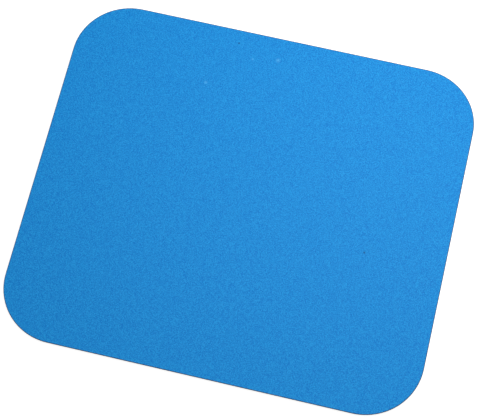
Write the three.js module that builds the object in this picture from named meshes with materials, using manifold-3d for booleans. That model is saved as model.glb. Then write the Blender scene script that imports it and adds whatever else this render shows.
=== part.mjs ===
// A thin cloth mouse pad: a knitted face and a foam-rubber sheet, bonded by an adhesive film and
// die-cut together to one outline with large round corners. The foam's underside is moulded with a
// zigzag tread that grips the desk and runs off the cut edge all round.
// Millimetres, +Z up, +X to the right, +Y to the back. The origin is at the middle of the underside.

import * as THREE from "three";
import { mergeVertices } from "three/addons/utils/BufferGeometryUtils.js";
import Module from "manifold-3d";

const wasm = await Module();
wasm.setup();

// Outline of the pad
const padWidth = 250;
const padDepth = 220;
const cornerRadius = 35;

// Sheets, from the desk up
const foamThickness = 1.5;
const filmThickness = 0.1;
const clothThickness = 0.4;

// Cut edge: the die pulls the cloth's rim down round, and the squeezed foam springs back leaning in
// towards the underside, with a slight dish above the tread
const clothRimRadius = 0.15;
const foamFootInset = 0.4;
const foamDishHeight = 0.9;
const foamDishInset = 0.08;

// Tread: parallel V-shaped grooves whose centre lines zigzag from left to right
const groovePitch = 5;
const grooveWidth = 1.6;
const grooveDepth = 0.45;
const zigzagRun = 10;
const zigzagRise = 4;
const cutOverrun = 0.5;

// Facets
const cornerSteps = 14;
const rimSteps = 4;

// Points round the pad's outline, moved inwards by an inset, counterclockwise seen from above.
function outlinePoints(inset) {
  const centreX = padWidth / 2 - cornerRadius;
  const centreY = padDepth / 2 - cornerRadius;
  const radius = cornerRadius - inset;
  const signs = [[1, 1], [-1, 1], [-1, -1], [1, -1]];
  return signs.flatMap(([signX, signY], corner) =>
    Array.from({ length: cornerSteps + 1 }, (_, step) => {
      const angle = (corner + step / cornerSteps) * (Math.PI / 2);
      return new THREE.Vector2(
        signX * centreX + radius * Math.cos(angle),
        signY * centreY + radius * Math.sin(angle),
      );
    }),
  );
}

// A closed skin through rings of equal point counts, from the lowest ring to the highest, with a flat
// cap on both. Each ring is a list of Vector3.
function skinRings(rings, cap) {
  const count = rings[0].length;
  const faces = [];
  for (let level = 0; level + 1 < rings.length; level++) {
    for (let k = 0; k < count; k++) {
      const here = level * count + k;
      const next = level * count + ((k + 1) % count);
      faces.push(here, next, next + count);
      faces.push(here, next + count, here + count);
    }
  }
  const top = (rings.length - 1) * count;
  for (const [a, b, c] of cap) {
    faces.push(a, c, b);
    faces.push(top + a, top + b, top + c);
  }
  const places = rings.flat().flatMap((point) => point.toArray());
  return new THREE.BufferGeometry()
    .setAttribute("position", new THREE.Float32BufferAttribute(places, 3))
    .setIndex(faces);
}

// A die-cut sheet: the pad's outline swept round an edge profile of [inset, height] steps, bottom first.
function sheetGeometry(edgeProfile) {
  const rings = edgeProfile.map(([inset, height]) =>
    outlinePoints(inset).map(({ x, y }) => new THREE.Vector3(x, y, height)),
  );
  const cap = THREE.ShapeUtils.triangulateShape(outlinePoints(edgeProfile[0][0]), []);
  return skinRings(rings, cap);
}

// The knitted face: flat below, with its rim rounded over the whole way round.
function clothGeometry() {
  const bottom = foamThickness + filmThickness;
  const top = bottom + clothThickness;
  const rim = Math.min(clothRimRadius, clothThickness);
  const rounding = Array.from({ length: rimSteps + 1 }, (_, step) => {
    const angle = (step / rimSteps) * (Math.PI / 2);
    return [rim * (1 - Math.cos(angle)), top - rim * (1 - Math.sin(angle))];
  });
  const foot = rim < clothThickness ? [[0, bottom]] : [];
  return sheetGeometry([...foot, ...rounding]);
}

// The bonding film, flush with the sheets above and below it.
function filmGeometry() {
  return sheetGeometry([
    [0, foamThickness],
    [0, foamThickness + filmThickness],
  ]);
}

// The cutters of every groove in one geometry. Each is a V-section carried along the zigzag line, open
// below the underside, and neighbours lie one pitch apart from front to back.
function grooveGeometry() {
  const flankGrowth = 1 + cutOverrun / grooveDepth;
  const mouth = (grooveWidth / 2) * flankGrowth;
  const bends = Math.ceil((padWidth / 2 + cutOverrun) / zigzagRun);
  const reach = padDepth / 2 + zigzagRise + mouth;
  const grooves = Math.ceil(reach / groovePitch);
  const places = [];
  const faces = [];
  for (let groove = -grooves; groove < grooves; groove++) {
    const centre = (groove + 1 / 2) * groovePitch - zigzagRise / 2;
    const first = places.length / 3;
    for (let bend = -bends; bend <= bends; bend++) {
      const x = bend * zigzagRun;
      const y = centre + (bend % 2 === 0 ? 0 : zigzagRise);
      places.push(x, y - mouth, -cutOverrun);
      places.push(x, y + mouth, -cutOverrun);
      places.push(x, y, grooveDepth);
    }
    const last = places.length / 3 - 3;
    for (let ring = first; ring < last; ring += 3) {
      for (const [here, next] of [[0, 1], [1, 2], [2, 0]]) {
        faces.push(ring + here, ring + next, ring + next + 3);
        faces.push(ring + here, ring + next + 3, ring + here + 3);
      }
    }
    faces.push(first, first + 2, first + 1);
    faces.push(last, last + 1, last + 2);
  }
  return new THREE.BufferGeometry()
    .setAttribute("position", new THREE.Float32BufferAttribute(places, 3))
    .setIndex(faces);
}

function solidFrom(geometry) {
  const bare = mergeVertices(geometry);
  return new wasm.Manifold(
    new wasm.Mesh({
      numProp: 3,
      vertProperties: bare.attributes.position.array,
      triVerts: new Uint32Array(bare.index.array),
    }),
  );
}

function geometryFrom(solid) {
  const { vertProperties, triVerts } = solid.getMesh();
  return new THREE.BufferGeometry()
    .setAttribute("position", new THREE.BufferAttribute(vertProperties, 3))
    .setIndex(new THREE.BufferAttribute(triVerts, 1));
}

// The foam sheet with the tread cut into its underside. Its cut edge leans in straight beside the tread
// and is dished above it, so that no groove which runs along the edge leaves a loose sliver.
function foamGeometry() {
  const leanInset = (height) => foamFootInset * (1 - height / foamThickness);
  const dishFoot = foamThickness - foamDishHeight;
  const dishMiddle = foamThickness - foamDishHeight / 2;
  const blank = sheetGeometry([
    [foamFootInset, 0],
    [leanInset(dishFoot), dishFoot],
    [leanInset(dishMiddle) + foamDishInset, dishMiddle],
    [0, foamThickness],
  ]);
  return geometryFrom(solidFrom(blank).subtract(solidFrom(grooveGeometry())));
}

function namedMesh(name, geometry, finish) {
  geometry.computeVertexNormals();
  const mesh = new THREE.Mesh(geometry, new THREE.MeshStandardMaterial(finish));
  mesh.name = name;
  return mesh;
}

const mousePad = new THREE.Group();
mousePad.add(
  namedMesh("foam_base", foamGeometry(), { color: 0x1d1d1f, roughness: 0.95, metalness: 0 }),
  namedMesh("adhesive_film", filmGeometry(), { color: 0xd9d6c8, roughness: 0.5, metalness: 0 }),
  namedMesh("cloth_top", clothGeometry(), { color: 0x288cd5, roughness: 0.9, metalness: 0 }),
);

export default mousePad;
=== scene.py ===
# A thin blue cloth mouse pad, laminated from three sheets and die-cut, lying on a white table.
import math

import bmesh
import bpy
from mathutils import Matrix, Vector, noise


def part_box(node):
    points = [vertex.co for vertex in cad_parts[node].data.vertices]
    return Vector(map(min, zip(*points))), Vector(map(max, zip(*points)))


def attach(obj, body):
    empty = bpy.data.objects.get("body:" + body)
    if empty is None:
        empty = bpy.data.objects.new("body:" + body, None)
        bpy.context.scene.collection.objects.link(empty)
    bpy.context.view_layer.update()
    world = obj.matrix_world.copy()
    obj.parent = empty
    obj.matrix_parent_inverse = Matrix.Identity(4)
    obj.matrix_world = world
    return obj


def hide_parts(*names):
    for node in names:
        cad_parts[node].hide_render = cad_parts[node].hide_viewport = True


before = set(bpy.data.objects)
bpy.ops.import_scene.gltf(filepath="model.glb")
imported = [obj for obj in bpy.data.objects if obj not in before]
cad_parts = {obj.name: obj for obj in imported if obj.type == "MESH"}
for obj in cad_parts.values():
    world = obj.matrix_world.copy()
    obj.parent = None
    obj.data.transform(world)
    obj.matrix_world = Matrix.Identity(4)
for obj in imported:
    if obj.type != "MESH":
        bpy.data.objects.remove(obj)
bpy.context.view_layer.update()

# Foam base
# The lowest sheet is black foam rubber, moulded underneath with a zigzag tread that grips the
# table. A steel-rule die cuts it to the outline together with the sheets above, so the tread runs
# off the edge. The squeezed side springs back leaning in towards the table, and slightly dished.

MM = 0.001
CORNER_RADIUS = 35 * MM
CORNER_SEGMENTS = 24
FOAM_FOOT_INSET = 0.4 * MM
FOAM_DISH_HEIGHT = 0.9 * MM
FOAM_DISH_INSET = 0.08 * MM
TREAD_PITCH = 5 * MM
TREAD_WIDTH = 1.6 * MM
TREAD_DEPTH = 0.45 * MM
TREAD_SOFTNESS = 0.12 * MM
TREAD_RUN = 10 * MM
TREAD_RISE = 4 * MM
BEND_SOFTNESS = 0.8 * MM
CUT_OVERRUN = 1 * MM

foam_low, foam_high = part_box("foam_base")
pad_half = Vector((foam_high.x, foam_high.y))


def boundary(solid):
    """The edges round an open side."""
    return [edge for edge in solid.edges if edge.is_boundary]


def set_rim(verts, height, inset):
    """Sets the points of an outline at a height, and draws them in square to the outline."""
    core = Vector((pad_half.x - CORNER_RADIUS, pad_half.y - CORNER_RADIUS))
    for vert in verts:
        nearest = Vector((
            max(-core.x, min(core.x, vert.co.x)),
            max(-core.y, min(core.y, vert.co.y)),
        ))
        outwards = (vert.co.xy - nearest).normalized()
        vert.co.xy -= outwards * inset
        vert.co.z = height


def wall_up(solid):
    """Grows a wall from the open side and gives the points of its new rim."""
    grown = bmesh.ops.extrude_edge_only(solid, edges=boundary(solid))["geom"]
    return [item for item in grown if isinstance(item, bmesh.types.BMVert)]


def close_top(solid):
    """Closes the open side and turns the faces outwards."""
    bmesh.ops.edgeloop_fill(solid, edges=boundary(solid))
    bmesh.ops.recalc_face_normals(solid, faces=solid.faces[:])
    return solid


def die_cut_sheet(edge):
    """A closed sheet of the pad's outline, whose cut edge goes up through (height, inset) steps."""
    sheet = bmesh.new()
    square = Matrix.Diagonal((pad_half.x, pad_half.y, 1, 1))
    bmesh.ops.create_grid(sheet, x_segments=1, y_segments=1, size=1, matrix=square)
    bmesh.ops.bevel(
        sheet, geom=sheet.verts[:], offset=CORNER_RADIUS, offset_type="OFFSET",
        segments=CORNER_SEGMENTS, profile=0.5, affect="VERTICES", material=-1,
    )
    set_rim(sheet.verts, *edge[0])
    for (height, inset), (_, last_inset) in zip(edge[1:], edge):
        set_rim(wall_up(sheet), height, inset - last_inset)
    return close_top(sheet)


def softened(before, corner, after):
    """Three points that round a corner off: the ends as they are, the middle one pulled inside."""
    middle = (before + 2 * corner + after) / 4
    return [before, middle, after]


def groove_section():
    """Across a groove, front to back: each lip and the root as three points of (offset, height)."""
    lip = TREAD_WIDTH / 2
    down_flank = Vector((TREAD_SOFTNESS, TREAD_SOFTNESS * TREAD_DEPTH / lip))
    flat = Vector((TREAD_SOFTNESS, 0))
    mirrored = Vector((down_flank.x, -down_flank.y))
    front, root, back = Vector((-lip, 0)), Vector((0, TREAD_DEPTH)), Vector((lip, 0))
    return (
        softened(front - flat, front, front + down_flank)
        + softened(root - down_flank, root, root + mirrored)
        + softened(back - mirrored, back, back + flat)
    )


def zigzag_line(bends):
    """From left to right: each bend of the tread as three points of (place, rise)."""
    points = []
    for bend in range(-bends, bends + 1):
        high = bend % 2
        corner = Vector((bend * TREAD_RUN, high * TREAD_RISE))
        slope = TREAD_RISE / TREAD_RUN * (-1 if high else 1)
        step = Vector((BEND_SOFTNESS, slope * BEND_SOFTNESS))
        points += softened(corner - Vector((step.x, -step.y)), corner, corner + step)
    return points


def tread_block(top):
    """A block that is larger than the pad all round, with the grooves across its underside."""
    line = zigzag_line(math.ceil((pad_half.x + CUT_OVERRUN) / TREAD_RUN))
    section = groove_section()
    grooves = math.ceil((pad_half.y + TREAD_RISE + CUT_OVERRUN) / TREAD_PITCH)
    rows = [
        ((groove + 0.5) * TREAD_PITCH - TREAD_RISE / 2 + offset, height)
        for groove in range(-grooves, grooves)
        for offset, height in section
    ]
    block = bmesh.new()
    bmesh.ops.create_grid(block, x_segments=len(line) - 1, y_segments=len(rows) - 1, size=1)
    for vert in block.verts:
        place, rise = line[round((vert.co.x + 1) / 2 * (len(line) - 1))]
        row, height = rows[round((vert.co.y + 1) / 2 * (len(rows) - 1))]
        vert.co = (place, row + rise, height)
    for vert in wall_up(block):
        vert.co.z = top
    return close_top(block)


def piece_from(name, solid):
    """The bmesh as an object of that name at the origin."""
    mesh = bpy.data.meshes.new(name)
    solid.to_mesh(mesh)
    solid.free()
    piece = bpy.data.objects.new(name, mesh)
    bpy.context.scene.collection.objects.link(piece)
    return piece


def lean_inset(height):
    """How far the foam's side lies inside the outline at that height, apart from its dish."""
    return FOAM_FOOT_INSET * (foam_high.z - height) / (foam_high.z - foam_low.z)


die_foot = foam_low.z - CUT_OVERRUN
dish_foot = foam_high.z - FOAM_DISH_HEIGHT
dish_middle = foam_high.z - FOAM_DISH_HEIGHT / 2
die = piece_from("die", die_cut_sheet([
    (die_foot, lean_inset(die_foot)),
    (dish_foot, lean_inset(dish_foot)),
    (dish_middle, lean_inset(dish_middle) + FOAM_DISH_INSET),
    (foam_high.z, 0),
]))
foam = piece_from("foam_sheet", tread_block(foam_high.z + CUT_OVERRUN))
cut = foam.modifiers.new("die_cut", "BOOLEAN")
cut.operation = "INTERSECT"
cut.solver = "MANIFOLD"
cut.object = die
evaluated = foam.evaluated_get(bpy.context.evaluated_depsgraph_get())
foam_mesh = bpy.data.meshes.new_from_object(evaluated)
foam.modifiers.clear()
foam.data = foam_mesh
bpy.data.objects.remove(die)


def new_material(name):
    """A material of that name with its node tree, and its Principled BSDF."""
    material = bpy.data.materials.new(name)
    material.use_nodes = True
    return material, material.node_tree, material.node_tree.nodes["Principled BSDF"]


def add_node(tree, kind, inputs=None, **settings):
    """A node of that kind. An input's value is a number, a colour or the output that feeds it."""
    node = tree.nodes.new("ShaderNode" + kind)
    for name, value in settings.items():
        setattr(node, name, value)
    for name, value in (inputs or {}).items():
        if isinstance(value, bpy.types.NodeSocket):
            tree.links.new(value, node.inputs[name])
        else:
            node.inputs[name].default_value = value
    return node


def add_math(tree, operation, first, second=0.0, third=0.0):
    """The result of one Math node."""
    inputs = dict(enumerate((first, second, third)))
    return add_node(tree, "Math", inputs, operation=operation).outputs[0]


def mix_colours(tree, share, first, second):
    """The colour that lies the given share of the way from the first to the second."""
    return add_node(tree, "Mix", {0: share, 6: first, 7: second}, data_type="RGBA").outputs[2]


def bump(tree, height, distance):
    """The normal of a relief that is that many metres high."""
    return add_node(tree, "Bump", {"Height": height, "Distance": distance}).outputs["Normal"]


def link(tree, shader, outputs):
    """Feeds the shader's named inputs from those outputs."""
    for name, output in outputs.items():
        tree.links.new(output, shader.inputs[name])


def set_shader(shader, **values):
    """Plain values of the Principled BSDF, set on its own sockets."""
    for name, value in values.items():
        shader.inputs[name.replace("_", " ")].default_value = value


SKIN_BLACK = (0.0075, 0.0075, 0.0080, 1)
SKIN_GREY = (0.0125, 0.0125, 0.0130, 1)
# The lands' grey is partly painted light from below and partly dust.
LAND_GREY = (0.034, 0.034, 0.033, 1)
LAND_HEIGHT = 0.03 * MM
FLANK_HEIGHT = 0.12 * MM
SKIN_DIMPLE = 0.7 * MM
SKIN_RELIEF = 0.06 * MM
SKIN_PATCH = 17 * MM
SKIN_PATCH_DETAIL = 5.0
DUST_IN_DIMPLES = 0.5
SKIN_ROUGHNESS = 0.82
LAND_POLISH = 0.18
SKIN_GLOSS = 0.4


def moulded_skin():
    """The closed skin of the underside: matt and finely dimpled, with grey lands painted paler than
    the grooves in place of light from below, and dust on them.
    """
    material, tree, shader = new_material("foam_moulded_skin")
    place = add_node(tree, "TexCoord").outputs["Object"]
    dimples = add_node(
        tree, "TexVoronoi", {"Vector": place, "Scale": 1 / SKIN_DIMPLE}, feature="SMOOTH_F1",
    ).outputs["Distance"]
    patches = add_node(
        tree, "TexNoise",
        {"Vector": place, "Scale": 1 / SKIN_PATCH, "Detail": SKIN_PATCH_DETAIL},
    ).outputs["Fac"]
    land = add_node(
        tree, "MapRange",
        {
            "Value": add_node(tree, "SeparateXYZ", {"Vector": place}).outputs["Z"],
            "From Min": FLANK_HEIGHT, "From Max": LAND_HEIGHT,
        },
    ).outputs["Result"]
    # Painted light: the lands are painted paler than the grooves in place of light from below, and
    # the dust lies in patches and in their dimples.
    settled = add_math(tree, "MULTIPLY_ADD", dimples, -DUST_IN_DIMPLES, DUST_IN_DIMPLES)
    land_dust_and_light = add_math(tree, "MULTIPLY", land, add_math(tree, "ADD", patches, settled))
    link(tree, shader, {
        "Base Color": mix_colours(
            tree, land_dust_and_light, mix_colours(tree, patches, SKIN_BLACK, SKIN_GREY), LAND_GREY,
        ),
        "Roughness": add_math(tree, "MULTIPLY_ADD", land, -LAND_POLISH, SKIN_ROUGHNESS),
        "Normal": bump(tree, dimples, SKIN_RELIEF),
    })
    set_shader(shader, Specular_IOR_Level=SKIN_GLOSS)
    return material


CELL_SHADE_BLACK = (0.004, 0.004, 0.0045, 1)
CELL_GREY = (0.020, 0.020, 0.021, 1)
CELL_SIZE = 0.3 * MM
CELL_WALL = (0.2, 0.75)
CELL_RELIEF = 0.09 * MM
CELL_ROUGHNESS = 0.95
CELL_GLOSS = 0.2


def cut_cells():
    """The cut side: open cells, painted dark inside as shade in the pores, with paler walls between
    them.
    """
    material, tree, shader = new_material("foam_cut_cells")
    place = add_node(tree, "TexCoord").outputs["Object"]
    cells = add_node(
        tree, "TexVoronoi", {"Vector": place, "Scale": 1 / CELL_SIZE},
    ).outputs["Distance"]
    wall = add_node(
        tree, "MapRange", {"Value": cells, "From Min": CELL_WALL[0], "From Max": CELL_WALL[1]},
    ).outputs["Result"]
    link(tree, shader, {
        # Painted shade: black in the middle of each cell, paler towards its walls.
        "Base Color": mix_colours(tree, wall, CELL_SHADE_BLACK, CELL_GREY),
        "Normal": bump(tree, wall, CELL_RELIEF),
    })
    set_shader(shader, Roughness=CELL_ROUGHNESS, Specular_IOR_Level=CELL_GLOSS)
    return material


CUT_SIDE_STEEPNESS = 0.5
SHARP_ANGLE = math.radians(40)

foam.data.materials.clear()
foam.data.materials.append(moulded_skin())
foam.data.materials.append(cut_cells())
for face in foam.data.polygons:
    face.material_index = 1 if abs(face.normal.z) < CUT_SIDE_STEEPNESS else 0
foam.data.shade_smooth()
foam.data.set_sharp_from_angle(angle=SHARP_ANGLE)
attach(foam, "root")
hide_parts("foam_base")

# Adhesive film
# A thin hot-melt film joins the cloth to the foam. It is melted in place by a heated roller, and
# the die leaves its edge a hair inside the two sheets.

FILM_TUCK = 0.06 * MM
FILM_GREY = (0.040, 0.044, 0.050, 1)
FILM_MILKY = (0.095, 0.105, 0.115, 1)
FILM_CLOUD = 2 * MM
FILM_CLOUD_DETAIL = 3.0
FILM_RELIEF = 0.02 * MM
FILM_ROUGHNESS = 0.45

film_low, film_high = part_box("adhesive_film")
film_edge = [(film_low.z, FILM_TUCK), (film_high.z, FILM_TUCK)]
film = piece_from("bonding_film", die_cut_sheet(film_edge))


def hot_melt():
    """Melted film on black foam: milky grey, a little glossy, cloudy along its edge."""
    material, tree, shader = new_material("hot_melt_film")
    place = add_node(tree, "TexCoord").outputs["Object"]
    clouds = add_node(
        tree, "TexNoise",
        {"Vector": place, "Scale": 1 / FILM_CLOUD, "Detail": FILM_CLOUD_DETAIL},
    ).outputs["Fac"]
    link(tree, shader, {
        "Base Color": mix_colours(tree, clouds, FILM_GREY, FILM_MILKY),
        "Normal": bump(tree, clouds, FILM_RELIEF),
    })
    set_shader(shader, Roughness=FILM_ROUGHNESS)
    return material


film.data.materials.append(hot_melt())
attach(film, "root")
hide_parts("adhesive_film")

# Cloth face
# The top sheet is a fine blue polyester jersey, bonded down flat but for the slightest waves. The
# die rolls its rim over. A dark line of painted shade runs over the rolled rim, and the cut side
# below it is painted partly dark as shade.

CLOTH_RIM_RADIUS = 0.15 * MM
RIM_STEPS = 5
RIM_BAND_INSET = 0.40 * MM
WAVE_CELL = 5 * MM
SLIVER = 0.01 * MM
WAVE_LENGTH = 55 * MM
WAVE_HEIGHT = 0.12 * MM
WAVE_FADE = 12 * MM

cloth_low, cloth_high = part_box("cloth_top")
rim_turns = [step / RIM_STEPS * math.pi / 2 for step in range(RIM_STEPS + 1)]
cloth_edge = [(cloth_low.z, 0)] + [
    (
        cloth_high.z - CLOTH_RIM_RADIUS * (1 - math.sin(turn)),
        CLOTH_RIM_RADIUS * (1 - math.cos(turn)),
    )
    for turn in rim_turns
] + [(cloth_high.z, RIM_BAND_INSET)]
cloth_solid = die_cut_sheet(cloth_edge)


def rule_cells(solid, half, normal):
    """Cuts the sheet across at every cell, so that its top can take the waves."""
    count = math.floor(half / WAVE_CELL)
    for step in range(-count, count + 1):
        bmesh.ops.bisect_plane(
            solid, geom=solid.verts[:] + solid.edges[:] + solid.faces[:],
            plane_co=Vector(normal) * (step * WAVE_CELL), plane_no=normal,
        )


def inside_outline(point):
    """How far a point lies inside the pad's outline."""
    over = Vector((
        abs(point.x) - pad_half.x + CORNER_RADIUS,
        abs(point.y) - pad_half.y + CORNER_RADIUS,
    ))
    beyond = Vector((max(over.x, 0), max(over.y, 0))).length
    return CORNER_RADIUS - beyond - min(max(over.x, over.y), 0)


def up_and_over(point):
    """How far a point lies from the foot of the cut side, going up the side and over the rim."""
    depth = inside_outline(point)
    if point.z < cloth_low.z + SLIVER:
        return -depth
    side = min(point.z, cloth_high.z - CLOTH_RIM_RADIUS) - cloth_low.z
    turn = math.acos(max(0, min(1, 1 - depth / CLOTH_RIM_RADIUS)))
    return side + CLOTH_RIM_RADIUS * turn + max(0, depth - CLOTH_RIM_RADIUS)


rule_cells(cloth_solid, pad_half.x, (1, 0, 0))
rule_cells(cloth_solid, pad_half.y, (0, 1, 0))
bmesh.ops.remove_doubles(cloth_solid, verts=cloth_solid.verts[:], dist=SLIVER)
from_foot = cloth_solid.verts.layers.float.new("from_foot")
for vert in cloth_solid.verts:
    vert[from_foot] = up_and_over(vert.co)
    depth = inside_outline(vert.co) - RIM_BAND_INSET
    if depth > 0 and vert.co.z > cloth_low.z + SLIVER:
        # The waves only sink, by a share of their height from 0 to 1, so the cloth grows no thicker.
        wave = (noise.noise(vert.co / WAVE_LENGTH) - 1) / 2
        vert.co.z += WAVE_HEIGHT * min(1, depth / WAVE_FADE) * wave
cloth = piece_from("cloth_face", cloth_solid)

WALE_PITCH = 0.52 * MM
COURSE_PITCH = 0.44 * MM
HALF_WALE = 0.5
LEG_LEAN = 1.3
LEG_FULLNESS = 0.5
LOOP_RELIEF = 0.035 * MM
LOOP_SHADE = (0.9, 1.1)
DYE_DEEP = (0.0001, 0.1695, 0.5761, 1)
DYE_PALE = (0.0150, 0.3355, 0.7569, 1)
DYE_PUSH = 0.25
RIM_SHADE_DARK = (0.003, 0.018, 0.052, 1)
FIBRE_SPREAD = (0.3, 0.7)
FIBRE_SHADE = (0.93, 1.07)
FIBRE_RELIEF = 0.008 * MM
FIBRES_ACROSS_LEG = 9.0
FIBRE_TWIST = 5.0
FIBRE_CHANGE_ALONG = 2.0
FIBRE_CHANGE_BY_ROW = 7.3
FIBRE_DETAIL = 2.0
# Painted shade on the cut edge: the side below the rim takes this share of the dark, and a dark line
# runs over the rolled rim.
SIDE_SHADE_SHARE = 0.4
RIM_SHADE_START = (0.27 * MM, 0.33 * MM)
RIM_SHADE_END = (0.73 * MM, 0.65 * MM)
RIM_SHADE_UNEVEN = 0.05 * MM
LINT_PALE = (0.16, 0.62, 1.0, 1)
PALE_LINT_SHARE = 0.32
PALE_LINT = ((-40.1, 70.8, 1.6), (-15.8, 92.5, 1.1), (-0.4, 95.3, 2.1))
LINT_DARK = (0.004, 0.06, 0.22, 1)
DARK_LINT = ((77.0, -14.1, 1.0), (-26.4, 101.1, 0.9))
CLOTH_ROUGHNESS = 0.42
CLOTH_GLOSS = 0.102
SHEEN_WEIGHT = 0.01
SHEEN_ROUGHNESS = 0.5
SHEEN_BLUE = (0.6, 0.82, 1.0, 1)


def stitch_number(tree, row, course):
    """A number from 0 to 1 for each stitch."""
    cell = add_node(tree, "CombineXYZ", {"X": row, "Y": course})
    return add_node(
        tree, "TexWhiteNoise", {"Vector": cell.outputs["Vector"]}, noise_dimensions="2D",
    ).outputs["Value"]


def stitches(tree, place):
    """V-shaped stitches in upright rows: height, fibres, and each stitch's number and paleness."""
    axes = add_node(tree, "SeparateXYZ", {"Vector": place})
    wale = add_math(tree, "DIVIDE", axes.outputs["X"], WALE_PITCH)
    course = add_math(tree, "DIVIDE", axes.outputs["Y"], COURSE_PITCH)
    across = add_math(tree, "PINGPONG", wale, HALF_WALE)
    along = add_math(tree, "MULTIPLY_ADD", across, LEG_LEAN, course)
    up_loop = add_math(tree, "MULTIPLY", add_math(tree, "FRACT", along), math.pi)
    ridge = add_math(tree, "SINE", up_loop)
    leg = add_math(tree, "SINE", add_math(tree, "MULTIPLY", across, math.tau))
    height = add_math(tree, "MULTIPLY", ridge, add_math(tree, "POWER", leg, LEG_FULLNESS))
    row = add_math(tree, "FLOOR", wale)
    stitch = add_math(tree, "FLOOR", along)
    number = stitch_number(tree, row, stitch)
    beside = stitch_number(tree, add_math(tree, "ADD", row, 1.0), stitch)
    above = stitch_number(tree, row, add_math(tree, "ADD", stitch, 1.0))
    # A stitch beside deeper ones comes out paler, so the grain stays fine.
    neighbours_depth = add_math(tree, "SUBTRACT", 1.0, add_math(tree, "ADD", beside, above))
    paleness = add_math(tree, "MULTIPLY_ADD", neighbours_depth, DYE_PUSH / 2, number)
    twist = add_math(tree, "MULTIPLY", across, FIBRE_TWIST)
    strand = add_node(tree, "CombineXYZ", {
        "X": add_math(tree, "MULTIPLY", across, FIBRE_CHANGE_ALONG),
        "Y": add_math(tree, "MULTIPLY_ADD", along, FIBRES_ACROSS_LEG, twist),
        "Z": add_math(tree, "MULTIPLY", row, FIBRE_CHANGE_BY_ROW),
    })
    fibres = add_node(
        tree, "TexNoise",
        {"Vector": strand.outputs["Vector"], "Scale": 1.0, "Detail": FIBRE_DETAIL},
    ).outputs["Fac"]
    return height, fibres, number, paleness


def lint(tree, place, specks):
    """Soft round specks, given as (x, y, radius) in millimetres: 1 at their middles."""
    mask = 0.0
    for x, y, radius in specks:
        centre = (x * MM, y * MM, cloth_high.z)
        apart = add_node(tree, "VectorMath", {0: place, 1: centre}, operation="DISTANCE")
        speck = add_node(
            tree, "MapRange",
            {
                "Value": apart.outputs["Value"],
                "From Min": 0.0, "From Max": radius * MM, "To Min": 1.0, "To Max": 0.0,
            },
            interpolation_type="SMOOTHSTEP",
        )
        mask = add_math(tree, "MAXIMUM", speck.outputs["Result"], mask)
    return mask


def jersey():
    """Dyed jersey whose yarn takes the dye unevenly, with a few specks of lint, and painted shade on
    its cut edge.
    """
    material, tree, shader = new_material("blue_jersey")
    place = add_node(tree, "TexCoord").outputs["Object"]
    height, fibres, number, paleness = stitches(tree, place)
    loop_shade = add_node(
        tree, "MapRange", {"Value": height, "To Min": LOOP_SHADE[0], "To Max": LOOP_SHADE[1]},
    ).outputs["Result"]
    fibre_shade = add_node(
        tree, "MapRange",
        {
            "Value": fibres, "From Min": FIBRE_SPREAD[0], "From Max": FIBRE_SPREAD[1],
            "To Min": FIBRE_SHADE[0], "To Max": FIBRE_SHADE[1],
        },
    ).outputs["Result"]
    shade = add_math(tree, "MULTIPLY", loop_shade, fibre_shade)
    relief = add_math(tree, "MULTIPLY_ADD", fibres, FIBRE_RELIEF / LOOP_RELIEF, height)
    yarn = add_node(
        tree, "VectorMath", {0: mix_colours(tree, paleness, DYE_DEEP, DYE_PALE), "Scale": shade},
        operation="SCALE",
    ).outputs["Vector"]
    pale = add_math(tree, "MULTIPLY", lint(tree, place, PALE_LINT), PALE_LINT_SHARE)
    speckled = mix_colours(tree, pale, yarn, LINT_PALE)
    speckled = mix_colours(tree, lint(tree, place, DARK_LINT), speckled, LINT_DARK)
    # Painted shade: dark navy over the rolled rim and just inside it, partly dark down the cut side,
    # by how far a point lies up the side and over the rim.
    run = add_node(tree, "Attribute", attribute_name="from_foot").outputs["Fac"]
    uneven = add_math(tree, "MULTIPLY_ADD", number, RIM_SHADE_UNEVEN, run)
    side_shade, rim_shade = (
        add_node(
            tree, "MapRange",
            {"Value": uneven, "From Min": start, "From Max": full, "To Min": least, "To Max": 1.0},
            interpolation_type="SMOOTHSTEP",
        ).outputs["Result"]
        for (start, full), least in ((RIM_SHADE_START, SIDE_SHADE_SHARE), (RIM_SHADE_END, 0.0))
    )
    dark = add_math(tree, "MULTIPLY", rim_shade, side_shade)
    link(tree, shader, {
        "Base Color": mix_colours(tree, dark, speckled, RIM_SHADE_DARK),
        "Normal": bump(tree, relief, LOOP_RELIEF),
    })
    set_shader(
        shader, Roughness=CLOTH_ROUGHNESS, Specular_IOR_Level=CLOTH_GLOSS,
        Sheen_Weight=SHEEN_WEIGHT, Sheen_Roughness=SHEEN_ROUGHNESS, Sheen_Tint=SHEEN_BLUE,
    )
    return material


cloth.data.materials.append(jersey())
cloth.data.shade_smooth()
cloth.data.set_sharp_from_angle(angle=SHARP_ANGLE)
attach(cloth, "root")
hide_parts("cloth_top")

# Table
# The pad lies on a plain white table top, which keeps its faint shadow. The table is open from
# below, so that the tread can be looked at.

TABLE_HALF = 3.0
TABLE_GAP = 0.02 * MM
TABLE_WHITE = (0.5, 0.5, 0.5, 1)
TABLE_ROUGHNESS = 0.9
TABLE_GLOSS = 0.0
TABLE_GLOW = 0.85
TREAD_REACH = 3 * MM

table_top = bmesh.new()
bmesh.ops.create_grid(table_top, x_segments=1, y_segments=1, size=TABLE_HALF)
bmesh.ops.translate(table_top, vec=(0, 0, -TABLE_GAP), verts=table_top.verts[:])
table = piece_from("table_top", table_top)


def camera_like(tree, path):
    """1 for the rays that bring the backdrop into view: straight, mirrored or through something."""
    seen = add_math(tree, "MAXIMUM", path.outputs["Is Camera Ray"], path.outputs["Is Glossy Ray"])
    return add_math(tree, "MAXIMUM", seen, path.outputs["Is Transmission Ray"])


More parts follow.
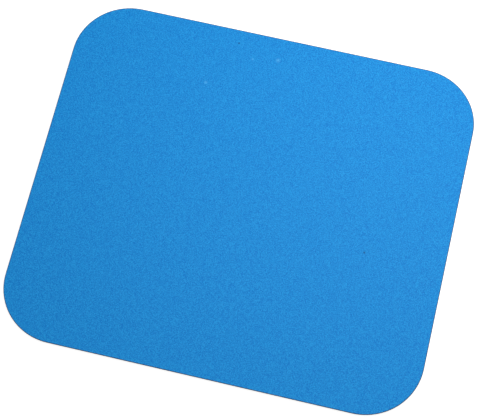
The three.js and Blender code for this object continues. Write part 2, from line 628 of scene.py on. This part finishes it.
def white_table():
    """White to the camera all the way out, and clear from below and right under the tread."""
    material, tree, shader = new_material("white_table")
    path = add_node(tree, "LightPath")
    seen = camera_like(tree, path)
    link(tree, shader, {
        "Emission Strength": add_math(tree, "MULTIPLY", seen, TABLE_GLOW),
    })
    set_shader(
        shader, Base_Color=TABLE_WHITE, Roughness=TABLE_ROUGHNESS,
        Specular_IOR_Level=TABLE_GLOSS, Emission_Color=(1, 1, 1, 1),
    )
    below = add_node(tree, "NewGeometry").outputs["Backfacing"]
    bounced = add_math(tree, "SUBTRACT", 1.0, seen)
    near = add_math(tree, "LESS_THAN", path.outputs["Ray Length"], TREAD_REACH)
    clear = add_math(tree, "MAXIMUM", below, add_math(tree, "MULTIPLY", near, bounced))
    open_table = add_node(tree, "MixShader", {
        0: clear,
        1: shader.outputs["BSDF"],
        2: add_node(tree, "BsdfTransparent").outputs["BSDF"],
    })
    tree.links.new(open_table.outputs["Shader"], tree.nodes["Material Output"].inputs["Surface"])
    return material


table.data.materials.append(white_table())

# Studio
# White light comes evenly from all round. One soft lamp, up behind the pad's right side, brightens
# the cloth gently from its front left corner to its back right one.

WORLD_LEVEL = 0.385
LAMP_PLACE = Vector((0.14, 0.20, 0.50))
LAMP_SIZE = 0.30
LAMP_WATTS = 2.40

world = bpy.data.worlds.new("studio")
bpy.context.scene.world = world
world.use_nodes = True
sky = world.node_tree
level = add_node(sky, "MapRange", {
    "Value": camera_like(sky, add_node(sky, "LightPath")), "To Min": WORLD_LEVEL, "To Max": 1.0,
})
backdrop = sky.nodes["Background"]
backdrop.inputs["Color"].default_value = (1, 1, 1, 1)
sky.links.new(level.outputs["Result"], backdrop.inputs["Strength"])

softbox = bpy.data.lights.new("softbox", "AREA")
softbox.shape = "SQUARE"
softbox.size = LAMP_SIZE
softbox.energy = LAMP_WATTS
lamp = bpy.data.objects.new("softbox", softbox)
lamp.location = LAMP_PLACE
lamp.rotation_mode = "QUATERNION"
lamp.rotation_quaternion = (-LAMP_PLACE).to_track_quat("-Z", "Y")
lamp.visible_camera = False
bpy.context.scene.collection.objects.link(lamp)

# Camera
# It stands in front of the pad, a little to the right, and looks down steeply at its middle.

SENSOR_WIDTH_MM = 36
LENS_MM = 126.3
AIM = Vector((-1.40 * MM, -4.66 * MM, cloth_high.z))
CAMERA_DISTANCE = 994.3 * MM
CAMERA_AZIMUTH = math.radians(14.91)
CAMERA_ELEVATION = math.radians(70.03)
CAMERA_ROLL = math.radians(-1.505)

camera_data = bpy.data.cameras.new("camera")
camera_data.sensor_width = SENSOR_WIDTH_MM
camera_data.lens = LENS_MM
camera = bpy.data.objects.new("camera", camera_data)
away = Vector((
    math.sin(CAMERA_AZIMUTH) * math.cos(CAMERA_ELEVATION),
    -math.cos(CAMERA_AZIMUTH) * math.cos(CAMERA_ELEVATION),
    math.sin(CAMERA_ELEVATION),
))
camera.location = AIM + away * CAMERA_DISTANCE
facing = (-away).to_track_quat("-Z", "Y").to_matrix() @ Matrix.Rotation(CAMERA_ROLL, 3, "Z")
camera.rotation_mode = "QUATERNION"
camera.rotation_quaternion = facing.to_quaternion()
bpy.context.scene.collection.objects.link(camera)
bpy.context.scene.camera = camera
bpy.context.scene.view_settings.view_transform = "Standard"
